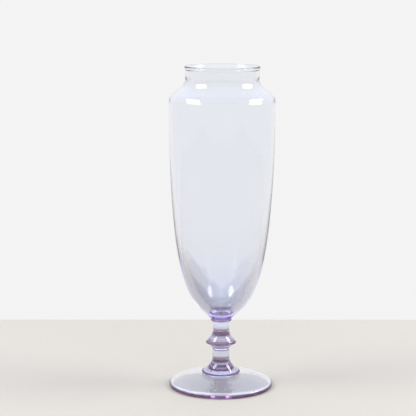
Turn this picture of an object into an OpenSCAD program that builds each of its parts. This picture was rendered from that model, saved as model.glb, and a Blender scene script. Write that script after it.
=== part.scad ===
// Footed vase of clear lilac glass, blown and built up hot from seven pieces.
// The origin is on the table, at the middle of the foot, and +Z is up. All sizes are in millimetres.
//
// Each piece is an outline turned about the vertical axis. The curved stretches of an outline are
// bends, each with two pairs of shares: how far across and how far up the curve goes straight on
// as it leaves its first end, and the same as it arrives at its second end.

/* [Bowl] */
// Height of the bowl, from its collar to the lip
bowl_h = 259.8; // [200:0.2:320]
// Greatest diameter of the bowl
bowl_d = 107.6; // [88:0.2:130]
// Depth of the greatest diameter below the lip
belly_depth = 35; // [28:0.5:60]
// Diameter of the bowl where it sits on its collar
bowl_base_d = 20.8; // [16:0.2:28]
// Wall of the bowl at its greatest diameter
bowl_wall = 3.1; // [2.2:0.1:5]
// Glass under the bottom of the hollow
bowl_floor = 10.2; // [6:0.2:16]
// How far the hollow's shoulder lies below the outside's
hollow_drop = 2.5; // [1:0.5:8]
// Bend of the outside as it leaves the collar
bowl_side_leave = [0.34, 0.09]; // [0:0.01:1]
// Bend of the outside as it arrives at the greatest diameter
bowl_side_arrive = [0, 0.96]; // [0:0.01:1]
// Bend of the hollow as it leaves the greatest diameter
hollow_leave = [0, 0.96]; // [0:0.01:1]
// Bend of the hollow as it arrives at its bottom
hollow_arrive = [0.22, 0]; // [0:0.01:1]

/* [Neck] */
// Outer diameter of the neck
neck_d = 74.8; // [60:0.2:86]
// Height of the neck, from the top of the shoulder to the lip
neck_h = 10; // [8:0.5:20]
// Wall of the neck
neck_wall = 2.9; // [2:0.1:4]
// How far the lip turns out past the neck
lip_flare = 1; // [0.4:0.1:4]
// Height of the part of the neck that turns out
lip_flare_h = 4; // [3:0.5:6]
// Thickness of the melted lip
lip_thick = 2.8; // [1.8:0.1:3.6]
// Bend of the shoulder as it leaves the greatest diameter
shoulder_leave = [0, 0.5]; // [0:0.01:1]
// Bend of the shoulder as it arrives at the neck
shoulder_arrive = [0, 0.65]; // [0:0.01:1]
// Bend of the flare at each of its ends
flare_bend = [0, 0.4]; // [0:0.01:1]

/* [Upper stem] */
// Height of the stem between the knop and the bowl's collar
upper_stem_h = 13.2; // [10:0.2:26]
// Diameter of its waist
upper_waist_d = 16.2; // [12:0.2:18]
// Diameter of its top
upper_head_d = 18.4; // [16:0.2:20]
// How far the bowl's collar stands out past the bowl
upper_collar_step = 0.3; // [0.2:0.1:2]
// Thickness of the bowl's collar
upper_collar_h = 1.6; // [1.2:0.1:3]
// Bend of the stem at each of its ends
upper_end_bend = [0.5, 0.3]; // [0:0.01:1]
// Bend of the stem at its waist
upper_waist_bend = [0, 0.4]; // [0:0.01:1]

/* [Knop] */
// Height of the knop
knop_h = 17; // [12:0.5:24]
// Diameter of its sharp edge
knop_d = 31.6; // [24:0.2:38]
// Height of the edge above the knop's bottom
knop_edge_h = 7.4; // [5:0.2:9]
// Radius that the edge is rounded to
knop_edge_r = 0.6; // [0.3:0.1:1]
// Diameter of its top, where the upper stem starts
knop_top_d = 18; // [16:0.2:20]
// Bend of the underside as it leaves the lower stem
knop_under_leave = [0.22, 0.5]; // [0:0.01:1]
// Bend of the underside as it arrives at the edge
knop_under_arrive = [0.62, 0.4]; // [0:0.01:1]
// Bend of the top as it leaves the edge
knop_top_leave = [0.35, 0.25]; // [0:0.01:1]
// Bend of the top as it arrives at the upper stem
knop_top_arrive = [0.2, 0.35]; // [0:0.01:1]

/* [Lower stem] */
// Height of the stem between the foot's collar and the knop
lower_stem_h = 22; // [16:0.5:36]
// Diameter of its straight upper half
lower_waist_d = 17.6; // [14:0.2:20]
// Diameter of its spread lower end
lower_spread_d = 33.6; // [26:0.2:38]
// Share of its height that the spread takes
lower_spread_share = 0.53; // [0.3:0.01:0.9]
// How far the foot's collar stands out past the stem
lower_collar_step = 3; // [2:0.1:5]
// Thickness of the foot's collar
lower_collar_h = 3; // [2:0.1:4]
// Bend of the spread as it leaves the collar
spread_leave = [0.29, 0.22]; // [0:0.01:1]
// Bend of the spread as it arrives at the waist
spread_arrive = [0.1, 0.39]; // [0:0.01:1]

/* [Foot] */
// Diameter of the foot
foot_d = 106.8; // [86:0.2:130]
// Height of the foot at its middle
foot_h = 13.4; // [10:0.2:20]
// Height of the rim's upright edge
rim_thick = 4; // [2.4:0.1:5]
// Radius that the rim's corners are melted to
rim_edge_r = 1.1; // [0.6:0.1:2]
// How far round its upper corner the rim turns before the top starts, in degrees
rim_top_turn = 36; // [10:1:80]
// Thickness of the glass at the middle
foot_middle_thick = 4.8; // [4:0.1:6]
// Width of the flat ring that the vase rests on
rest_w = 2.6; // [1.5:0.1:5]
// Bend of the top as it leaves the rim
foot_top_leave = [0.09, 0.41]; // [0:0.01:1]
// Bend of the top as it arrives at the collar
foot_top_arrive = [0.54, 0.16]; // [0:0.01:1]
// Bend of the underside as it leaves the middle
foot_under_leave = [0.28, 0]; // [0:0.01:1]
// Bend of the underside as it arrives at the resting ring
foot_under_arrive = [0.14, 0.6]; // [0:0.01:1]

/* [Hidden] */

LILAC = [0.80, 0.80, 0.93, 0.55];
BEND_STEPS = 20;
LONG_BEND_STEPS = 60;
ARC_STEPS = 12;
$fn = 96;

// The pieces stand on one another: each height starts where the piece below ends.
lower_collar_z = foot_h;
lower_stem_z = lower_collar_z + lower_collar_h;
knop_z = lower_stem_z + lower_stem_h;
upper_stem_z = knop_z + knop_h;
upper_collar_z = upper_stem_z + upper_stem_h;
bowl_z = upper_collar_z + upper_collar_h;
lip_z = bowl_z + bowl_h;

lower_collar_r = lower_spread_d / 2 + lower_collar_step;
upper_collar_r = bowl_base_d / 2 + upper_collar_step;
lower_waist_r = lower_waist_d / 2;
knop_top_r = knop_top_d / 2;

// Heights of the bowl's outside and of its hollow. The hollow's shoulder lies lower than the
// outside's, so the glass is thicker there, where the bubble was necked in.
belly_z = lip_z - belly_depth;
shoulder_z = lip_z - neck_h;
flare_z = lip_z - lip_flare_h;
hollow_belly_z = belly_z - hollow_drop;
hollow_shoulder_z = shoulder_z - hollow_drop;
hollow_floor_z = bowl_z + bowl_floor;

// Two values multiplied each by each.
function each_by_each(a, b) = [a.x * b.x, a.y * b.y];

// Points of a bend from a to b, without a itself.
function bend(a, b, leave, arrive, steps = BEND_STEPS) =
    let (
        way = b - a,
        past_a = a + each_by_each(leave, way),
        before_b = b - each_by_each(arrive, way)
    )
    [for (i = [1:steps])
        let (t = i / steps, s = 1 - t)
        s * s * s * a + 3 * s * s * t * past_a + 3 * s * t * t * before_b + t * t * t * b];

// Points of an arc about middle between two angles, without its first point.
function arc(middle, r, from, to) =
    [for (i = [1:ARC_STEPS])
        let (angle = from + (to - from) * i / ARC_STEPS)
        middle + r * [cos(angle), sin(angle)]];

// Turns a closed outline of [radius, height] points about the vertical axis.
module turned(outline) {
    color(LILAC) rotate_extrude() polygon(outline);
}

// Flat disc with a half-round edge, its underside at height z.
module collar(r, h, z) {
    edge_r = h / 2;
    color(LILAC) translate([0, 0, z]) rotate_extrude() {
        square([r - edge_r, h]);
        intersection() {
            translate([r - edge_r, edge_r]) circle(edge_r);
            square([r, h]);
        }
    }
}

// Hollow conical foot: a spun disc of nearly even thickness with an upright, melted rim.
module foot() {
    rim_x = foot_d / 2 - rim_edge_r;
    rim_low = [rim_x, rim_edge_r];
    rim_high = [rim_x, rim_thick - rim_edge_r];
    rim_top = rim_high + rim_edge_r * [cos(rim_top_turn), sin(rim_top_turn)];
    seat = [lower_collar_r - lower_collar_h / 2, foot_h];
    hollow_top = [0, foot_h - foot_middle_thick];
    rest_in = [rim_x - rest_w, 0];
    turned(concat(
        [[0, foot_h], hollow_top],
        bend(hollow_top, rest_in, foot_under_leave, foot_under_arrive),
        [[rim_x, 0]],
        arc(rim_low, rim_edge_r, -90, 0),
        [rim_high + [rim_edge_r, 0]],
        arc(rim_high, rim_edge_r, 0, rim_top_turn),
        bend(rim_top, seat, foot_top_leave, foot_top_arrive)
    ));
}

// Ring of glass between the foot and the stem.
module lower_collar() {
    collar(lower_collar_r, lower_collar_h, lower_collar_z);
}

// Solid stem that spreads downwards on to the foot's collar.
module lower_stem() {
    spread = [lower_spread_d / 2, lower_stem_z];
    waist = [lower_waist_r, lower_stem_z + lower_stem_h * lower_spread_share];
    turned(concat(
        [[0, lower_stem_z], spread],
        bend(spread, waist, spread_leave, spread_arrive),
        [[lower_waist_r, knop_z], [0, knop_z]]
    ));
}

// Solid knop, drawn out to one sharp edge.
module knop() {
    bottom = [lower_waist_r, knop_z];
    top = [knop_top_r, upper_stem_z];
    edge = [knop_d / 2 - knop_edge_r, knop_z + knop_edge_h];
    under_edge = edge + knop_edge_r * [cos(60), -sin(60)];
    over_edge = edge + knop_edge_r * [cos(60), sin(60)];
    turned(concat(
        [[0, knop_z], bottom],
        bend(bottom, under_edge, knop_under_leave, knop_under_arrive),
        arc(edge, knop_edge_r, -60, 60),
        bend(over_edge, top, knop_top_leave, knop_top_arrive),
        [[0, upper_stem_z]]
    ));
}

// Short solid stem with a waist, under the bowl's collar.
module upper_stem() {
    bottom = [knop_top_r, upper_stem_z];
    waist = [upper_waist_d / 2, upper_stem_z + upper_stem_h / 2];
    head = [upper_head_d / 2, upper_collar_z];
    turned(concat(
        [[0, upper_stem_z], bottom],
        bend(bottom, waist, upper_end_bend, upper_waist_bend),
        bend(waist, head, upper_waist_bend, upper_end_bend),
        [[0, upper_collar_z]]
    ));
}

// Thin disc of glass that the bowl is set on.
module upper_collar() {
    collar(upper_collar_r, upper_collar_h, upper_collar_z);
}

// Blown bowl: one skin from its thick bottom over the shoulder to the melted lip.
module bowl() {
    base = [bowl_base_d / 2, bowl_z];
    belly = [bowl_d / 2, belly_z];
    shoulder = [neck_d / 2, shoulder_z];
    flare = [neck_d / 2, flare_z];
    lip_r = lip_thick / 2;
    lip = [neck_d / 2 + lip_flare - lip_r, lip_z - lip_r];
    bore_r = neck_d / 2 - neck_wall;
    hollow_belly = [bowl_d / 2 - bowl_wall, hollow_belly_z];
    turned(concat(
        [[0, bowl_z], base],
        bend(base, belly, bowl_side_leave, bowl_side_arrive, LONG_BEND_STEPS),
        bend(belly, shoulder, shoulder_leave, shoulder_arrive),
        [flare],
        bend(flare, lip + [lip_r, 0], flare_bend, flare_bend),
        arc(lip, lip_r, 0, 180),
        bend(lip - [lip_r, 0], [bore_r, flare_z], flare_bend, flare_bend),
        [[bore_r, hollow_shoulder_z]],
        bend([bore_r, hollow_shoulder_z], hollow_belly, shoulder_arrive, shoulder_leave),
        bend(hollow_belly, [0, hollow_floor_z], hollow_leave, hollow_arrive, LONG_BEND_STEPS)
    ));
}

foot();
lower_collar();
lower_stem();
knop();
upper_stem();
upper_collar();
bowl();
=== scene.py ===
import math

import bpy
from mathutils import Euler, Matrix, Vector


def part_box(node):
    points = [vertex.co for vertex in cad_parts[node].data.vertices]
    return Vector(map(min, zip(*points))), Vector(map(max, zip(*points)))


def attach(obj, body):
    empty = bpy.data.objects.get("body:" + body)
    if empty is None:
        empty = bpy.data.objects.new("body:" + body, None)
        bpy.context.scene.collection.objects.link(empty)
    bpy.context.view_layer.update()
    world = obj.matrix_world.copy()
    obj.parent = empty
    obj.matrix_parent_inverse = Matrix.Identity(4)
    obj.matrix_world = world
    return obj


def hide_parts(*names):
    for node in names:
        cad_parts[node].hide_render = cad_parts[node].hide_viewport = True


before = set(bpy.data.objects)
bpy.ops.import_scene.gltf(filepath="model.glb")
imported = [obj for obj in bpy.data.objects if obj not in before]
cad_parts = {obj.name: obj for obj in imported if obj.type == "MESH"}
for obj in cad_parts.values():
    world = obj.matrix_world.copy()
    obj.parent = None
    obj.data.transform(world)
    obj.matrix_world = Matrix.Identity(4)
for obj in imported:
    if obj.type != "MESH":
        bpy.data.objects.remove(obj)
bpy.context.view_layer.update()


# ---------------------------------------------------------------- Foot
# A gather of glass spun out flat and sagged into a shallow cone, so it is hollow underneath and
# rests on a narrow ring at its rim. The rim stands upright, with its corners melted in the fire.
# Each point of the outline says how deep the glass looks there, because that sets its tint.
MM = 0.001
BEND_STEPS = 22
STRAIGHT = ((0, 0.3), (0, 0.3))


def bend(a, b, leave, arrive, steps=BEND_STEPS):
    """Points after a on a smooth curve from a to b, as (radius, height, depth of glass).

    leave and arrive are the shares of the way across and up that the curve goes straight on at
    its two ends. The depth of glass changes evenly from a's to b's.
    """
    way = [b[0] - a[0], b[1] - a[1]]
    past_a = [a[0] + leave[0] * way[0], a[1] + leave[1] * way[1]]
    before_b = [b[0] - arrive[0] * way[0], b[1] - arrive[1] * way[1]]
    points = []
    for i in range(1, steps + 1):
        t = i / steps
        s = 1 - t
        place = [s ** 3 * a[k] + 3 * s * s * t * past_a[k] + 3 * s * t * t * before_b[k]
                 + t ** 3 * b[k] for k in (0, 1)]
        points.append((place[0], place[1], a[2] * s + b[2] * t))
    return points


def arc(middle, r, start, end, depth, steps=10):
    """Points of an arc between two angles in degrees, after its first point."""
    turn = [math.radians(start + (end - start) * i / steps) for i in range(1, steps + 1)]
    return [(middle[0] + r * math.cos(a), middle[1] + r * math.sin(a), depth) for a in turn]


def top_of(node):
    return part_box(node)[1].z


def radius_of(node):
    low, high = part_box(node)
    return (high.x - low.x) / 2


foot_r = radius_of("foot")
foot_top = top_of("foot")
rim_thick = 4 * MM
rim_edge_r = 1.1 * MM
RIM_TOP_TURN = 36
rest_w = 2.6 * MM
foot_middle_thick = 4.8 * MM
UNDER_FOOT = ((0.28, 0), (0.14, 0.6))
OVER_FOOT = ((0.09, 0.41), (0.54, 0.16))
sheet_depth = 1 * MM
rest_depth = 2 * MM
rim_depth = 30 * MM
rim_top_depth = 28 * MM
collar_h = top_of("lower_collar") - foot_top
collar_r = radius_of("lower_collar")

rim_x = foot_r - rim_edge_r
rim_high = (rim_x, rim_thick - rim_edge_r)
foot_seat = (collar_r - collar_h / 2, foot_top, sheet_depth)
hollow_top = (0, foot_top - foot_middle_thick, sheet_depth)
rest_in = (rim_x - rest_w, 0, sheet_depth)

outline = [hollow_top]
outline += bend(hollow_top, rest_in, *UNDER_FOOT)
outline += [(rim_x - rest_w / 2, 0, rest_depth), (rim_x, 0, rim_depth)]
outline += arc((rim_x, rim_edge_r), rim_edge_r, -90, 0, rim_depth, 6)
outline += bend(outline[-1], (foot_r, rim_high[1], rim_depth), *STRAIGHT, 5)
outline += arc(rim_high, rim_edge_r, 0, RIM_TOP_TURN, rim_top_depth, 4)
rim_top = outline[-1][:2] + (sheet_depth,)
outline += bend(rim_top, foot_seat, *OVER_FOOT)


# ---------------------------------------------------------------- Foot's collar
# A bit of glass wound round the bottom of the stem and flattened, which holds the foot. Its edge
# is half round and pinched all round into small beads.
collar_edge_r = collar_h / 2
collar_depth = 21 * MM
BEADS = 36.0
half_bead_depth = 0.45 * MM
beaded_from = len(outline)
outline += arc((collar_r - collar_edge_r, foot_top + collar_edge_r), collar_edge_r,
               -90, 90, collar_depth)
beaded_to = len(outline)


# ---------------------------------------------------------------- Lower stem
# Solid drawn glass, straight at the top, spread below where it was pressed on to its collar
# while it was soft.
lower_stem_z = top_of("lower_collar")
lower_stem_top = top_of("lower_stem")
lower_waist_r = 8.8 * MM
SPREAD_PART = 0.53
SPREAD_SIDE = ((0.29, 0.22), (0.1, 0.39))
stem_depth = 12 * MM
lower_waist_z = lower_stem_z + SPREAD_PART * (lower_stem_top - lower_stem_z)
spread = (radius_of("lower_stem"), lower_stem_z, stem_depth)
lower_waist = (lower_waist_r, lower_waist_z, stem_depth)
outline += [spread]
outline += bend(spread, lower_waist, *SPREAD_SIDE)
outline += bend(lower_waist, (lower_waist_r, lower_stem_top, stem_depth), *STRAIGHT, 8)


# ---------------------------------------------------------------- Knop
# A second gather, squeezed with the jacks above and below into hollow sides, which meet in one
# sharp edge.
knop_top = top_of("knop")
knop_edge_r = 0.6 * MM
knop_edge_h = 7.4 * MM
knop_top_r = 9 * MM
knop_top_depth = 16 * MM
knop_side_depth = 25 * MM
knop_edge_depth = 30 * MM
UNDER_KNOP = ((0.22, 0.5), (0.62, 0.4))
OVER_KNOP = ((0.35, 0.25), (0.2, 0.35))
EDGE_TURN, EDGE_COSINE, EDGE_SINE = 60, 0.5, 0.866
knop_edge = (radius_of("knop") - knop_edge_r, lower_stem_top + knop_edge_h)
knop_end = (knop_top_r, knop_top, knop_top_depth)
edge_end_r = knop_edge[0] + knop_edge_r * EDGE_COSINE
under_edge = (edge_end_r, knop_edge[1] - knop_edge_r * EDGE_SINE, knop_side_depth)
over_edge = (edge_end_r, knop_edge[1] + knop_edge_r * EDGE_SINE, knop_side_depth)
outline += bend(outline[-1], under_edge, *UNDER_KNOP)
outline += arc(knop_edge, knop_edge_r, -EDGE_TURN, EDGE_TURN, knop_edge_depth, 8)
outline += bend(over_edge, knop_end, *OVER_KNOP)


# ---------------------------------------------------------------- Upper stem
# Solid drawn glass with a waist, pinched in while it was soft. It holds the knop to the bowl's
# collar.
upper_stem_top = top_of("upper_stem")
upper_waist_r = 8.1 * MM
upper_waist_depth = 14 * MM
WAIST_STEPS = 16
WAIST_BEND = (0, 0.4)
END_BEND = (0.5, 0.3)
upper_waist = (upper_waist_r, (knop_top + upper_stem_top) / 2, upper_waist_depth)
upper_head = (radius_of("upper_stem"), upper_stem_top, stem_depth)
outline += bend(knop_end, upper_waist, END_BEND, WAIST_BEND, WAIST_STEPS)
outline += bend(upper_waist, upper_head, WAIST_BEND, END_BEND, WAIST_STEPS)


# ---------------------------------------------------------------- Bowl's collar
# A thin disc of glass between stem and bowl, hardly wider than the bowl's bottom: the hot drop
# that stuck the stem on, pressed flat.
upper_collar_r = radius_of("upper_collar")
upper_collar_top = top_of("upper_collar")
upper_collar_depth = 27 * MM
UPPER_COLLAR_TURN = 60
upper_edge_r = (upper_collar_top - upper_stem_top) / 2
outline += arc((upper_collar_r - upper_edge_r, upper_stem_top + upper_edge_r), upper_edge_r,
               -90, UPPER_COLLAR_TURN, upper_collar_depth)


# ---------------------------------------------------------------- Bowl
# Blown in one bubble: thick at the bottom, thin from the shoulder up, then opened at the neck
# and melted round at the lip. The outline goes up its outside and down its inside, and its depth
# of glass follows from its height.
LONG_STEPS = 66
SHORT_STEPS = 6
LIP_STEPS = 10
bowl_r = radius_of("bowl")
lip_z = top_of("bowl")
bottom_r = 10.4 * MM
bowl_wall = 3.1 * MM
neck_r = 37.4 * MM
neck_wall = 2.9 * MM
lip_r = 1.4 * MM
lip_flare = 1 * MM
belly_z = lip_z - 35 * MM
shoulder_z = lip_z - 10 * MM
flare_z = lip_z - 4 * MM
hollow_drop = 2.5 * MM
floor_z = upper_collar_top + 10.2 * MM
BOTTOM_BEND = (0.34, 0.09)
FLOOR_BEND = (0.22, 0)
LONG_BEND = (0, 0.96)
BELLY_BEND = (0, 0.5)
SHOULDER_BEND = (0, 0.65)
FLARE_SIDE = ((0, 0.4), (0, 0.4))

base = (bottom_r, upper_collar_top, 0)
belly = (bowl_r, belly_z, 0)
shoulder = (neck_r, shoulder_z, 0)
flare = (neck_r, flare_z, 0)
lip = (neck_r + lip_flare - lip_r, lip_z - lip_r)
bore_top = (neck_r - neck_wall, flare_z, 0)
bore_bottom = (neck_r - neck_wall, shoulder_z - hollow_drop, 0)
hollow_belly = (bowl_r - bowl_wall, belly_z - hollow_drop, 0)

skin = [base]
skin += bend(base, belly, BOTTOM_BEND, LONG_BEND, LONG_STEPS)
skin += bend(belly, shoulder, BELLY_BEND, SHOULDER_BEND)
skin += bend(shoulder, flare, *STRAIGHT, SHORT_STEPS)
skin += bend(flare, (lip[0] + lip_r, lip[1], 0), *FLARE_SIDE, LIP_STEPS)
skin += arc(lip, lip_r, 0, 180, 0)
skin += bend((lip[0] - lip_r, lip[1], 0), bore_top, *FLARE_SIDE, LIP_STEPS)
skin += bend(bore_top, bore_bottom, *STRAIGHT, SHORT_STEPS)
skin += bend(bore_bottom, hollow_belly, SHOULDER_BEND, BELLY_BEND)
skin += bend(hollow_belly, (0, floor_z, 0), LONG_BEND, FLOOR_BEND, LONG_STEPS)

bottom_extra = 13 * MM
bottom_fade = 20 * MM
outline += [(r, z, bowl_wall + bottom_extra * math.exp((upper_collar_top - z) / bottom_fade))
            for r, z, _ in skin]

# Where one looks along the solid glass instead of through it, it is far deeper: over and under
# the knop, at the stem's spread and at the bowl's bottom. Each band is its height and half width,
# and only narrow glass takes part.
bands = [(27.2 * MM, 3.2 * MM), (38.4 * MM, 0.9 * MM), (56.3 * MM, 3 * MM), (72 * MM, 5 * MM)]
band_depth = 30 * MM
band_reach = 15 * MM
for middle, half in bands:
    outline = [(r, z, d + (band_depth - d) * max(0, 1 - abs(z - middle) / half) * (r < band_reach))
               for r, z, d in outline]


# ---------------------------------------------------------------- The fused glass
# The seven pieces are put together hot, so they are one body of glass with no surface left
# between them. Its outline is turned about the vertical axis by a node tree, which also gives it
# the slight waves of hand work.
class Value:
    """A node's output, on which arithmetic adds Math nodes to the same tree."""

    def __init__(self, graph, socket):
        self.graph = graph
        self.socket = socket

    def math(self, operation, *others):
        return self.graph.node("ShaderNodeMath", {"operation": operation},
                               dict(enumerate([self, *others])))

    def __add__(self, other):
        return self.math("ADD", other)

    def __sub__(self, other):
        return self.math("SUBTRACT", other)

    def __rsub__(self, other):
        return self.math("MULTIPLY", -1.0) + other

    def __mul__(self, other):
        return self.math("MULTIPLY", other)

    def clamped(self):
        return self.graph.node("ShaderNodeClamp", {}, {"Value": self})

    __radd__ = __add__
    __rmul__ = __mul__


class Graph:
    """Adds nodes to a tree, all in one form."""

    def __init__(self, tree):
        self.tree = tree

    def node(self, kind, settings, sockets, output=None):
        """Adds a node, applies its settings, then sets or links its sockets.

        A ramp's stops are (place, colour) pairs. Gives the named output, or the first that the
        settings leave in use.
        """
        made = self.tree.nodes.new(kind)
        for key, value in settings.items():
            if key != "stops":
                setattr(made, key, value)
                continue
            ramp = made.color_ramp.elements
            ramp[0].position, ramp[0].color = value[0]
            ramp[1].position, ramp[1].color = value[-1]
            for place, colour in value[1:-1]:
                ramp.new(place).color = colour
        for key, value in sockets.items():
            target = made.inputs[key] if isinstance(key, int) else next(
                socket for socket in made.inputs if socket.enabled and socket.name == key)
            if isinstance(value, Value):
                self.tree.links.new(value.socket, target)
            else:
                target.default_value = value
        used = [socket for socket in made.outputs if socket.enabled]
        return Value(self, made.outputs[output] if output else used[0]) if used else made


def geometry_graph(name, inputs):
    """A geometry node group with named number inputs, as (its graph, its inputs by name)."""
    tree = bpy.data.node_groups.new(name, "GeometryNodeTree")
    tree.interface.new_socket("Geometry", in_out="INPUT", socket_type="NodeSocketGeometry")
    for label, kind in inputs.items():
        tree.interface.new_socket(label, in_out="INPUT", socket_type=kind)
    tree.interface.new_socket("Geometry", in_out="OUTPUT", socket_type="NodeSocketGeometry")
    graph = Graph(tree)
    given = tree.nodes.new("NodeGroupInput").outputs
    return graph, {socket.name: Value(graph, socket) for socket in given if socket.name}


def finish_graph(graph, geometry, material):
    """Ends a geometry tree in real geometry that carries the material."""
    solid = graph.node("GeometryNodeRealizeInstances", {}, {"Geometry": geometry})
    solid = graph.node("GeometryNodeSetMaterial", {}, {"Geometry": solid, "Material": material})
    end = graph.tree.nodes.new("NodeGroupOutput")
    graph.tree.links.new(solid.socket, end.inputs[0])


def made_by(graph, start, settings, name):
    """The plain mesh object that a tree makes from a start mesh, with named inputs set."""
    source = bpy.data.objects.new(name + "_source", start)
    bpy.context.scene.collection.objects.link(source)
    modifier = source.modifiers.new("Nodes", "NODES")
    modifier.node_group = graph.tree
    for item in graph.tree.interface.items_tree:
        if item.in_out == "INPUT" and item.name in settings:
            modifier[item.identifier] = settings[item.name]
    evaluated = source.evaluated_get(bpy.context.evaluated_depsgraph_get())
    mesh = bpy.data.meshes.new_from_object(evaluated)
    source.modifiers.remove(modifier)
    bpy.data.objects.remove(source)
    piece = bpy.data.objects.new(name, mesh)
    bpy.context.scene.collection.objects.link(piece)
    return piece


# Clear glass coloured with a rare earth: pale blue where it is thin, mauve where it is thick.
# The surface takes the tint for the depth of glass behind it, and the body absorbs as well.
glass = bpy.data.materials.new("lilac_glass")
glass.use_nodes = True
glass.node_tree.nodes.clear()
shade = Graph(glass.node_tree)
depth_here = shade.node("ShaderNodeAttribute", {"attribute_name": "glass_depth"}, {}, "Fac")
deepest = 30 * MM
tint = shade.node("ShaderNodeValToRGB", {"stops": [
    (0.03, (0.985, 1.0, 1.0, 1)), (0.10, (0.945, 0.962, 0.978, 1)), (0.2, (0.86, 0.90, 0.975, 1)),
    (0.53, (0.78, 0.84, 0.97, 1)), (0.67, (0.53, 0.52, 0.68, 1)), (0.85, (0.25, 0.13, 0.22, 1)),
    (1.0, (0.16, 0.06, 0.12, 1))]}, {"Fac": depth_here * (1 / deepest)})
spot = shade.node("ShaderNodeTexCoord", {}, {}, "Object")

# The bowl's lower sides carry painted shade: darker, more on the left than on the right, for the
# darker table seen bent through the glass. The painted shade ends in a wavy line that dips at the
# middle.
table_line_z = 91 * MM
TABLE_LINE_CLIMB = 1.15
table_line_wander = 20 * MM
table_shade_low_z = 74 * MM
shade_edge_w = 4 * MM
TABLE_SHADE_MIDDLE = 0.72
TABLE_SHADE_LEAN = 12.0
TABLE_SHADE_PATCHES = 0.6
DULLEST = 0.05
streaks = shade.node("ShaderNodeTexNoise", {}, {"Vector": spot, "Scale": 55.0, "Detail": 3.0})
right = shade.node("ShaderNodeSeparateXYZ", {}, {0: spot}, "X")
up = shade.node("ShaderNodeSeparateXYZ", {}, {0: spot}, "Z")
uneven = streaks - 0.5
table_line_at = right.math("ABSOLUTE") * TABLE_LINE_CLIMB + table_line_z + uneven * table_line_wander
table_shade_mask = ((table_line_at - up) * (1 / shade_edge_w)).clamped() * ((up - table_shade_low_z) * (1 / shade_edge_w)).clamped()
table_shade_mask = table_shade_mask * (TABLE_SHADE_MIDDLE - right * TABLE_SHADE_LEAN + uneven * TABLE_SHADE_PATCHES).clamped()
# Painted shade: the glass tint is darkened under the mask, standing for the shaded table seen
# through the bowl's bottom.
table_shaded_tint = shade.node("ShaderNodeMix", {"data_type": "RGBA", "blend_type": "MULTIPLY"}, {
    "Factor": table_shade_mask, "A": tint, "B": (0.80, 0.785, 0.80, 1)})
ripple = shade.node("ShaderNodeTexNoise", {}, {"Vector": spot, "Scale": 90.0, "Detail": 2.0})
dull = ripple * DULLEST
bump = shade.node("ShaderNodeBump", {}, {"Height": ripple, "Strength": 0.015, "Distance": 0.0005})
clear = shade.node("ShaderNodeBsdfPrincipled", {}, {
    "Base Color": table_shaded_tint, "Roughness": dull, "Normal": bump,
    "IOR": 1.52, "Transmission Weight": 1.0})
soak = shade.node("ShaderNodeVolumeAbsorption", {}, {
    "Color": (0.70, 0.60, 0.88, 1), "Density": 10.0})
end = glass.node_tree.nodes.new("ShaderNodeOutputMaterial")
glass.node_tree.links.new(clear.socket, end.inputs["Surface"])
glass.node_tree.links.new(soak.socket, end.inputs["Volume"])

# The tree bends a flat grid round into the turned shape: each row of it is a point of the outline,
# and each column a step round the axis. The waves only go inwards, and fade out near the axis.
WAVE_TOP = 0.8
WAVE_STRETCH = 0.5
FULL_WAVES = 60
turning, given = geometry_graph("turned_glass", {
    "Segments": "NodeSocketInt",
    "Wave Height": "NodeSocketFloat",
    "Wave Scale": "NodeSocketFloat",
    "Seed": "NodeSocketFloat",
    "Beads": "NodeSocketFloat",
    "Half Bead Depth": "NodeSocketFloat",
})
rows = turning.node("GeometryNodeAttributeDomainSize", {"component": "MESH"},
                    {"Geometry": given["Geometry"]}, "Point Count")
sheet = turning.node("GeometryNodeMeshGrid", {}, {
    "Size X": 1.0, "Size Y": 1.0, "Vertices X": given["Segments"] + 1, "Vertices Y": rows}, "Mesh")
here = turning.node("GeometryNodeInputPosition", {}, {})
across = turning.node("ShaderNodeSeparateXYZ", {}, {0: here}, "X") + 0.5
along = turning.node("ShaderNodeSeparateXYZ", {}, {0: here}, "Y") + 0.5
row = (along * (rows - 1)).math("ROUND")
place = turning.node("GeometryNodeSampleIndex", {"data_type": "FLOAT_VECTOR", "domain": "POINT"},
                     {"Geometry": given["Geometry"], "Value": here, "Index": row})
depth_name = turning.node("GeometryNodeInputNamedAttribute", {"data_type": "FLOAT"},
                          {"Name": "glass_depth"}, "Attribute")
depth = turning.node("GeometryNodeSampleIndex", {"data_type": "FLOAT", "domain": "POINT"},
                     {"Geometry": given["Geometry"], "Value": depth_name, "Index": row})
bead_name = turning.node("GeometryNodeInputNamedAttribute", {"data_type": "FLOAT"},
                         {"Name": "beading"}, "Attribute")
beading = turning.node("GeometryNodeSampleIndex", {"data_type": "FLOAT", "domain": "POINT"},
                       {"Geometry": given["Geometry"], "Value": bead_name, "Index": row})
radius = turning.node("ShaderNodeSeparateXYZ", {}, {0: place}, "X")
height = turning.node("ShaderNodeSeparateXYZ", {}, {0: place}, "Z")
angle = across * (2 * math.pi)
cosine = angle.math("COSINE")
sine = angle.math("SINE")
spot = turning.node("ShaderNodeCombineXYZ", {}, {
    "X": radius * cosine, "Y": radius * sine, "Z": height * WAVE_STRETCH})
wave = turning.node("ShaderNodeTexNoise", {"noise_dimensions": "4D"}, {
    "Vector": spot, "W": given["Seed"], "Scale": given["Wave Scale"], "Detail": 0.0})
waves = (wave - WAVE_TOP) * given["Wave Height"] * (radius * FULL_WAVES).math("MINIMUM", 1.0)
pinch = ((angle * given["Beads"]).math("COSINE") - 1.0) * given["Half Bead Depth"]
wavy = radius + waves + pinch * beading
spun = turning.node("ShaderNodeCombineXYZ", {}, {
    "X": wavy * cosine, "Y": wavy * sine, "Z": height})
body = turning.node("GeometryNodeStoreNamedAttribute", {"data_type": "FLOAT", "domain": "POINT"},
                    {"Geometry": sheet, "Name": "glass_depth", "Value": depth})
body = turning.node("GeometryNodeSetPosition", {}, {"Geometry": body, "Position": spun})
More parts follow.
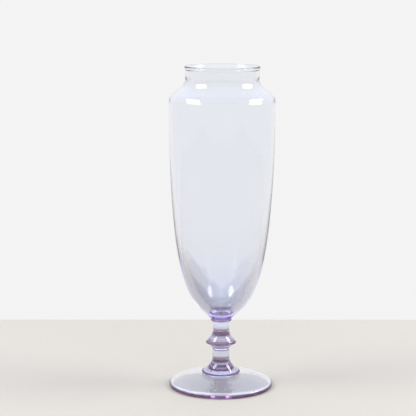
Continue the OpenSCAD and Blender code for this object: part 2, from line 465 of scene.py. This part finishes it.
body = turning.node("GeometryNodeMergeByDistance", {}, {"Geometry": body, "Distance": 0.002 * MM})
body = turning.node("GeometryNodeSetShadeSmooth", {}, {"Geometry": body, "Shade Smooth": True})
finish_graph(turning, body, glass)

outline_mesh = bpy.data.meshes.new("outline")
outline_mesh.from_pydata([(r, 0, z) for r, z, _ in outline],
                         [(i, i + 1) for i in range(len(outline) - 1)], [])
for label, values in (
        ("glass_depth", [d for _, _, d in outline]),
        ("beading", [float(beaded_from <= i < beaded_to) for i in range(len(outline))])):
    outline_mesh.attributes.new(label, "FLOAT", "POINT").data.foreach_set("value", values)
vase = made_by(turning, outline_mesh, {
    "Segments": 216, "Wave Height": 0.3 * MM, "Wave Scale": 30.0, "Seed": 7.0,
    "Beads": BEADS, "Half Bead Depth": half_bead_depth}, "vase_glass")
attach(vase, "root")
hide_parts("foot", "lower_collar", "lower_stem", "knop", "upper_stem", "upper_collar",
            "bowl")


# ---------------------------------------------------------------- Table and backdrop
# A pale table with a straight back edge, in a plain white room. Its back edge runs slightly
# askew, and the foot stands a hair above it.
scene = bpy.context.scene
table_front = -1.6
table_back = 0.284
table_half = 1.5
table_askew = 0.034
table_gap = 0.3 * MM


def staged(name, corners, material):
    mesh = bpy.data.meshes.new(name)
    mesh.from_pydata(corners, [], [tuple(range(len(corners)))])
    plane = bpy.data.objects.new(name, mesh)
    plane.data.materials.append(material)
    scene.collection.objects.link(plane)


painted = bpy.data.materials.new("pale_table")
painted.use_nodes = True
painted.node_tree.nodes.clear()
cover = Graph(painted.node_tree)
spot = cover.node("ShaderNodeTexCoord", {}, {}, "Object")
grain = cover.node("ShaderNodeTexNoise", {}, {"Vector": spot, "Scale": 260.0, "Detail": 4.0})
paint = cover.node("ShaderNodeMix", {"data_type": "RGBA"}, {
    "Factor": grain, "A": (0.49, 0.453, 0.378, 1), "B": (0.528, 0.49, 0.413, 1)})
matt = cover.node("ShaderNodeBsdfPrincipled", {}, {"Base Color": paint, "Roughness": 0.8})
end = painted.node_tree.nodes.new("ShaderNodeOutputMaterial")
painted.node_tree.links.new(matt.socket, end.inputs["Surface"])
staged("table", [(-table_half, table_front, -table_gap), (table_half, table_front, -table_gap),
                 (table_half, table_back + table_askew, -table_gap),
                 (-table_half, table_back - table_askew, -table_gap)], painted)

room = bpy.data.worlds.new("studio")
scene.world = room
room.use_nodes = True
room.node_tree.nodes.clear()
around = Graph(room.node_tree)
toward = around.node("ShaderNodeTexCoord", {}, {}, "Generated")
rise = around.node("ShaderNodeSeparateXYZ", {}, {0: toward}, "Z")
wall = around.node("ShaderNodeValToRGB", {"stops": [
    (0.2, (0.45, 0.45, 0.45, 1)), (0.62, (0.55, 0.59, 0.72, 1))]}, {"Fac": rise})
lit = around.node("ShaderNodeBackground", {}, {"Color": wall, "Strength": 2.0})
end = room.node_tree.nodes.new("ShaderNodeOutputWorld")
room.node_tree.links.new(lit.socket, end.inputs["Surface"])

lit_height = 0.25
softbox_distance = 1.3
softbox_w = 0.85
softbox_h = 0.42


def softbox(name, azimuth, elevation, power):
    """An oval soft light that looks at the upper part of the vase, from angles in degrees."""
    light = bpy.data.lights.new(name, "AREA")
    light.shape = "ELLIPSE"
    light.size = softbox_w
    light.size_y = softbox_h
    light.energy = power
    lamp = bpy.data.objects.new(name, light)
    turn, rise = math.radians(azimuth), math.radians(elevation)
    away = Vector((math.sin(turn) * math.cos(rise), -math.cos(turn) * math.cos(rise),
                   math.sin(rise)))
    lamp.location = Vector((0, 0, lit_height)) + away * softbox_distance
    lamp.rotation_euler = away.to_track_quat("Z", "Y").to_euler()
    scene.collection.objects.link(lamp)


softbox("left_softbox", azimuth=-74, elevation=37, power=8)
softbox("right_softbox", azimuth=88, elevation=33, power=9)


# ---------------------------------------------------------------- Camera
# A long lens on a stand, a little above the lip and looking slightly down at the vase. Light
# passes many walls of glass, so each ray may go on a long way.
camera_distance = 1.518
camera_height = 0.4396
DOWN, ASIDE, ROLL = 9.495, 0.525, 0.2
BOUNCES = 24
lens = bpy.data.cameras.new("camera")
lens.sensor_width = 36
lens.lens = 130.85
camera = bpy.data.objects.new("camera", lens)
camera.location = (0, -camera_distance, camera_height)
aim = Euler((math.radians(90 - DOWN), 0, math.radians(ASIDE))).to_matrix()
camera.rotation_euler = (aim @ Euler((0, 0, math.radians(ROLL))).to_matrix()).to_euler()
scene.collection.objects.link(camera)
scene.camera = camera
scene.view_settings.view_transform = "Standard"
scene.cycles.max_bounces = BOUNCES
scene.cycles.transmission_bounces = BOUNCES
scene.cycles.glossy_bounces = BOUNCES
